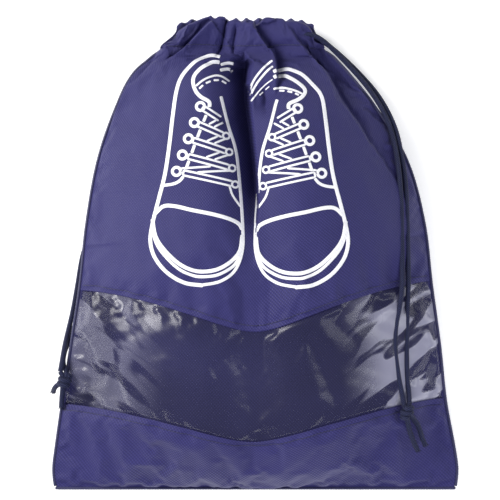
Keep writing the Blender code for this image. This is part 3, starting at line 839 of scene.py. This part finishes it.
def fray(name, tip, before, seed):
    """The loose fibres at a cut end."""
    draw = np.random.default_rng(seed)
    way = (Vector(tip) - Vector(before)).normalized()
    side, up = square_to(way)
    runs = []
    for _ in range(26):
        angle, out = draw.uniform(0, 6.28), CORD_RADIUS * 0.8 * math.sqrt(draw.uniform(0, 1))
        reach, flare = draw.uniform(0.0016, 0.0036), draw.uniform(0.1, 0.7)
        aside = side * math.cos(angle) + up * math.sin(angle) * 0.8
        root = Vector(tip) - way * 0.0008 + aside * out
        runs.append([root + way * reach * t + aside * flare * out * t * t * 1.6
                     for t in (0, 0.35, 0.7, 1.0)])
    return tube_object(name, runs, lambda angle, at: np.full(len(angle), 0.00017), 5)


def cords(cord):
    """Four strands, two knots and four tails."""
    right_strands = (RIGHT_FRONT_STRAND, RIGHT_REAR_STRAND)
    left_strands = (LEFT_FRONT_STRAND, LEFT_REAR_STRAND)
    # the right strands lie still on the full part of the bag, so that they don't sink into it
    sets = (("right", RIGHT_KNOT, right_strands, (RIGHT_FRONT_TAIL, RIGHT_REAR_TAIL), 0.86),
            ("left", LEFT_KNOT, left_strands, (LEFT_FRONT_TAIL, LEFT_REAR_TAIL), 0.25))
    for seed, (side, place, strands, tails, still) in enumerate(sets):
        way = Vector(tails[0][1]) - Vector(strands[0][-2])
        core = [[Vector(s[-1]), Vector(place) + (Vector(s[-1]) - Vector(place)) * 0.3, Vector(t[0])]
                for s, t in zip(strands, tails)]
        runs = [spread(line, 0.0006) for line in core]
        runs.append(spread(helix_wraps(place, way, 2.25, 0.0037, 0.4 + 2.2 * seed), 0.0006))
        knot = tube_object(side + "_knot", runs, braided, 20)
        finish_piece(knot, cord, side + "_pull", "drawcord", side + "_cord_knot")
        going = [knot]
        for kind, line in zip(("front", "rear"), tails):
            points = spread([Vector(place).lerp(Vector(line[0]), 0.5), *line], 0.0005)
            tail = tube_object(f"{side}_{kind}_tail", [points], braided, 20)
            finish_piece(tail, cord, side + "_pull", "drawcord", f"{side}_cord_{kind}_tail")
            ends = fray(f"{side}_{kind}_fray", points[-1], points[-4], 7 + seed * 2 + len(going))
            finish_piece(ends, cord, side + "_pull", "drawcord")
            going += [tail, ends]
        for kind, line in zip(("front", "rear"), strands):
            points = spread(line, 0.0005)
            strand = tube_object(f"{side}_{kind}_strand", [points], braided, 20)
            finish_piece(strand, cord, None, "drawcord", f"{side}_cord_{kind}_strand")
            start = Vector(line[0]).lerp(Vector(line[-1]), still)
            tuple(line[-1])
            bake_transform(strand)
            length = sum((b - a).length for a, b in zip(points, points[1:]))
            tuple(line[0])


def cord_loop(near, far):
    """The way of one cord inside the channels, between the gathers, with its far bend drawn in."""
    away = math.copysign(1, far - near)
    steps = [i / 8 for i in range(9)]
    run = [(near + (far - near) * t, 0.1700 + 0.0012 * t, -away * 0.0026 * math.sin(math.pi * t))
           for t in steps]
    front = [(x, y, 0.0260 + z - 0.0090 * math.sin(math.pi * t) ** 0.6)
             for (x, y, z), t in zip(run, steps)]
    bend = [(far + away * 0.0012 * math.sin(math.pi * t), 0.1712, 0.0160 + 0.0100 * math.cos(math.pi * t))
            for t in steps[1:-1]]
    return front + bend + [(x, y, 0.0060 + z) for x, y, z in reversed(run)]


def loops(cord):
    """The parts of the cords that stay inside the channels."""
    for side, near, far in (("right", 0.0370, -0.0520), ("left", -0.0520, 0.0370)):
        loop = tube_object(side + "_loop", [spread(cord_loop(near, far), 0.0007)], braided, 16)
        finish_piece(loop, cord, "bag", "drawcord", side + "_cord_loop")


def seams(thread):
    """The overlocked edges: a soft welt with turns of thread around it."""
    def overlocked(angle, at):
        return 0.00115 * (0.90 + 0.10 * np.abs(np.cos(angle * 0.5 + math.pi * at / 0.0021)))
    for side, edge in (("left", LEFT_X), ("right", RIGHT_X)):
        heights = np.linspace(0.002, CHANNEL_LINE - 0.004, 60)
        left, right, y = edges(heights)
        x = left - SEAM_INSET * 0.6 if edge == LEFT_X else right + SEAM_INSET * 0.6
        x[-1] *= 0.97
        route = list(zip(x, y, STATION[SIDE_Z](heights)))
        seam = tube_object(side + "_seam", [spread(route, 0.0005)], overlocked, 12)
        finish_piece(seam, thread, "bag", "sewing_thread", side + "_side_seam")
    low = STATIONS[0]
    ends = (low[LEFT_X], low[RIGHT_X])
    route = [(ends[0] + (ends[1] - ends[0]) * i / 8, BOTTOM_Y, low[SIDE_Z]) for i in range(9)]
    seam = tube_object("bottom_edge", [spread(route, 0.0005)], overlocked, 12)
    finish_piece(seam, thread, "bag", "sewing_thread", "bottom_seam")


def stitch_row(name, node, surface, reach, height, rise, thread, pitch=0.0031):
    """A row of lockstitches at a height on the cloth: each rises from one hole and goes down the next."""
    across = np.linspace(-reach, reach, 160)
    points = spread(list(zip(*surface(across, np.full_like(across, height)))), 0.0004)
    length = [0]
    for a, b in zip(points, points[1:]):
        length.append(length[-1] + (b - a).length)
    runs = []
    for i in range(int(length[-1] / pitch)):
        run = []
        for t, up in ((0.04, -0.0004), (0.12, 0.0001), (0.30, 0.00030), (0.5, 0.00034), (0.70, 0.00030),
                      (0.88, 0.0001), (0.96, -0.0004)):
            at = (i + t) * pitch
            place = Vector([float(np.interp(at, length, [p[axis] for p in points])) for axis in range(3)])
            run.append(place + Vector((0, 0, rise * up)))
        runs.append(run)
    row = tube_object(name, runs, lambda angle, at: np.full(len(angle), 0.00030), 6)
    finish_piece(row, thread, "bag", "sewing_thread", node)


def stitching(front, thread):
    window_top, window_low, channel = WINDOW_HIGH + HEM / 2, WINDOW_LOW - HEM / 2, CHANNEL_LINE + 0.0015
    for name, node, surface, reach, height, rise in (
            ("window_top_stitches", "window_top_stitching", front, 0.985, window_top, 1),
            ("window_low_stitches", "window_bottom_stitching", front, 0.985, window_low, 1),
            ("front_channel_stitches", "front_channel_stitching", front, 0.90, channel, 1),
            ("back_channel_stitches", "back_channel_stitching", back_surface, 0.90, channel, -1)):
        stitch_row(name, node, surface, reach, height, rise, thread)


# ---- The print: a pair of lace-up shoes from above, in white ink ----
# Its strokes are in millimetres across and up from the toe
INK = 0.00022                       # how far the ink stands off the cloth
BOLD, PLAIN, FINE = 0.0029, 0.0023, 0.0016  # widths of its strokes
FOLD_STEP = 0.0022                  # a step in the cloth that a stroke doesn't bridge


def arc(points):
    """A smooth stroke through a few points."""
    return [(p.x, p.y) for p in spread([(x, y, 0) for x, y in points], 0.55)]


def ring(place, radius):
    return [(place[0] + radius * math.cos(math.radians(a)), place[1] + radius * math.sin(math.radians(a)))
            for a in range(0, 361, 15)]


def beside(start, end, gap):
    """The line from start to end, moved sideways."""
    along = Vector(end) - Vector(start)
    side = Vector((-along.y, along.x)).normalized() * gap
    return [tuple((Vector(start) + side + along * t / 24)[:]) for t in range(25)]


def clear_of(stroke, laces, reach=2.5):
    """The pieces of a stroke that no lace covers."""
    pieces, piece = [], []
    for point in stroke:
        covered = False
        for start, end in laces:
            along = Vector(end) - Vector(start)
            away = Vector(point) - Vector(start)
            t = min(max(away.dot(along) / along.length_squared, 0), 1)
            covered = covered or (away - along * t).length < reach
        if covered:
            pieces.append(piece)
            piece = []
        else:
            piece.append(point)
    return [p for p in [*pieces, piece] if len(p) > 2]


def shoe():
    """Strokes of one shoe, the one at the left: (points, width) each."""
    strokes = [
        # the sole's edge, up the outer side and over the heel, then up the inner side
        (arc([(5, 0), (-9, 2), (-22, 9.5), (-31.5, 21), (-35, 33), (-33.5, 46), (-29, 64), (-24, 84),
              (-21, 105), (-18.5, 129), (-16, 148), (-12, 160), (-3, 171), (5, 175.5), (12, 177),
              (22, 173.5), (31, 165), (37, 156), (40, 146)]), BOLD),
        (arc([(3, 0.1), (18, 3.2), (29, 11.5), (34.5, 27), (34.5, 48), (32.5, 76), (29.5, 102), (23.5, 122),
              (18, 144)]), PLAIN),
        (arc([(-33.5, 50), (-31, 37), (-24.5, 27), (-14, 17), (-4, 11.8), (5.3, 10.4), (16, 12.2), (26, 18),
              (32.5, 26), (34.5, 38)]), BOLD),
        (arc([(-34, 42), (-30, 31), (-24, 22.5), (-13.5, 12.6), (-3, 7.6), (5.3, 6.6), (16, 8), (27, 14),
              (33, 22)]), PLAIN),
        # the toe cap
        (arc([(-31.5, 54), (-25, 59.5), (-16.5, 59.6), (-3, 56.5), (12, 53.5), (24, 50.2), (31.5, 46.5),
              (34.5, 42)]), BOLD),
        # the vamp's seams and the collar
        (arc([(-9.9, 82), (-13, 78.5), (-18, 76.3), (-25.6, 75.3)]), PLAIN),
        (arc([(24.7, 75), (27.2, 67.7), (33, 59.5)]), FINE),
        (arc([(38, 148), (33, 156.5), (26, 165), (19, 170.5), (12.5, 171.5), (8, 169.5), (2, 165.5),
              (-2.4, 160), (-3.2, 154), (-1, 147.5), (3, 143), (9, 139.2), (9.5, 135)]), BOLD),
        # the tongue
        (arc([(-1, 151.7), (4, 156), (10, 159.2), (15.7, 160.4), (22, 158.3), (30, 152), (38, 142)]), FINE),
    ]
    strokes += [(arc(run), FINE) for run in (
        [(1.5, 149.5), (4.5, 152.3)], [(6.5, 153.8), (10.2, 155.6)], [(12.4, 156.4), (16.4, 156.8)],
        [(18.6, 156.4), (22, 154.6)], [(24, 153.4), (27, 151)], [(28.8, 149.4), (31.5, 146.6)])]
    outer = [(2.6 - 4.45 * k, 135.5 - 12.4 * k) for k in range(5)]
    inner = [(19.8 + 2.3 * k, 125.8 - 12.4 * k) for k in range(5)]
    over = [(a, (b[0] - 2.5, b[1] + 0.5)) for a, b in zip(outer, inner)]
    strokes += [(ring(place, 3.1), PLAIN) for place in outer]
    strokes += [(ring(place, 2.4), FINE) for place in inner[1:]]
    for start, end in over:
        strokes += [(beside(start, end, gap)[3:], FINE) for gap in (-1.9, 1.9)]
        strokes.append((beside(beside(start, end, -1.9)[3], beside(start, end, 1.9)[3], 0), FINE))
    for k, start in enumerate(inner[:4]):
        under = (start, outer[min(k + 2, 4)])
        ahead = over[k + 1]
        for gap in (-1.9, 1.9):
            pieces = clear_of(beside(*under, gap), [over[k], ahead])
            strokes += [(piece, FINE) for piece in pieces[:1]]
    edge = arc([(9.0, 134), (4, 121), (-1.5, 106), (-8.5, 86)])
    strokes += [(piece, PLAIN) for piece in clear_of(edge, over, 2.9)]
    return strokes


def slip(x, y):
    """How far up a printed point shows, once the folds near the mouth have moved its piece of cloth."""
    if -0.0270 < x < -0.0075:
        return float(ease((y - 0.138) / 0.008)) * (-0.0065 + (x + 0.0270) * 0.85)
    if x > 0.0138:
        return -0.0095 * float(ease((y - 0.112) / 0.030))
    return 0.0


def in_valley(x, y):
    """Whether the deep fold between the two shoes hides a printed point."""
    heights = (0.060, 0.120, 0.131, 0.1515, 0.160)
    left = float(np.interp(y, heights, (-0.0100, -0.0200, -0.0200, -0.0148, -0.0130)))
    return y > 0.104 and left < x < -0.0053


def drawn_in(x, y):
    """Share of a stroke's width that shows where the folds near the mouth draw the print together."""
    if -0.0060 < x < 0.0138:
        return 1 - 0.42 * float(ease((y - 0.112) / 0.016))
    return 1 - 0.20 * float(ease((y - 0.138) / 0.006)) if -0.0270 < x < -0.0060 else 1.0


def printed_strokes():
    """Every stroke of the pair in metres on the bag, cut where a fold hides or shifts it."""
    for mirror, place in ((1, (-0.0442, -0.0238)), (-1, (0.0348, -0.0253))):
        for stroke, width in shoe():
            piece = []
            before = 0.0
            for p, q in stroke:
                x, y = place[0] + mirror * p / 1000, place[1] + q / 1000
                moved = slip(x, y)
                if in_valley(x, y) or abs(moved - before) > 0.0009:
                    yield piece, width
                    piece = []
                if not in_valley(x, y):
                    piece.append((x, y + moved))
                before = moved
            yield piece, width


def ink_material():
    n = Nodes("white_ink")
    flat, relief = embossed(n)
    worn = n.noise(flat, 900, 4.0, 0.7)
    tone = n.times(relief, 0.25, n.times(worn, 0.9))
    n.set(Base_Color=n.ramp(tone, (0.25, (0.42, 0.43, 0.60)), (0.42, (0.80, 0.81, 0.88)),
                            (0.7, (0.90, 0.90, 0.93))), Roughness=0.5, Specular_IOR_Level=0.4)
    n.set(Normal=n.bump(relief, 0.5, 0.0002, n.bump(worn, 0.3, 0.00005)))
    return n.made


def ink(upper):
    """The strokes as thin films that follow the cloth."""
    tree = BVHTree.FromObject(upper, bpy.context.evaluated_depsgraph_get())
    down = Vector((0, 0, -1))
    co, quads, flat = [], [], []
    lanes = (-1, -0.67, -0.33, 0, 0.33, 0.67, 1)
    for stroke, width in printed_strokes():
        if len(stroke) < 6:
            continue
        line = np.array(stroke)
        previous = None
        for i, (at, side) in enumerate(zip(line, sideways(directions(line)))):
            taper = drawn_in(*at) * (0.72 if i in (0, len(line) - 1) else 1.0)
            row = []
            for lane in lanes:
                x, y = at + side * lane * width / 2 * taper
                hit = tree.ray_cast(Vector((x, y, 0.2)), down)[0]
                if hit is None:
                    row = None
                    break
                co.append((x, y, hit.z + INK))
                flat.append((x, y))
                row.append(len(co) - 1)
            if row and previous:
                for a, b, c, d in zip(previous, previous[1:], row[1:], row):
                    heights = [co[v][2] for v in (a, b, c, d)]
                    if max(heights) - min(heights) < FOLD_STEP:
                        quads.append((a, b, c, d))
            previous = row
    used = sorted({v for quad in quads for v in quad})
    renumber = {v: i for i, v in enumerate(used)}
    quads = np.array([[renumber[v] for v in quad] for quad in quads])
    print_piece = sheet_object("shoe_print", np.array(co)[used], quads, np.array(flat)[used])
    finish_piece(print_piece, ink_material(), "bag", "non_woven_cloth")
    thicken(print_piece, 0.0001)


camera()
cord = cord_material()
cords(cord)
studio()
front = settle(front_surface)
thread = thread_material()
upper = panels(front, cloth_material("non_woven"))
window(front)
loops(cord)
seams(thread)
stitching(front, thread)
ink(upper)
sizes = [[list(corner) for corner in box] for box in (CAD_BOX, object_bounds())]
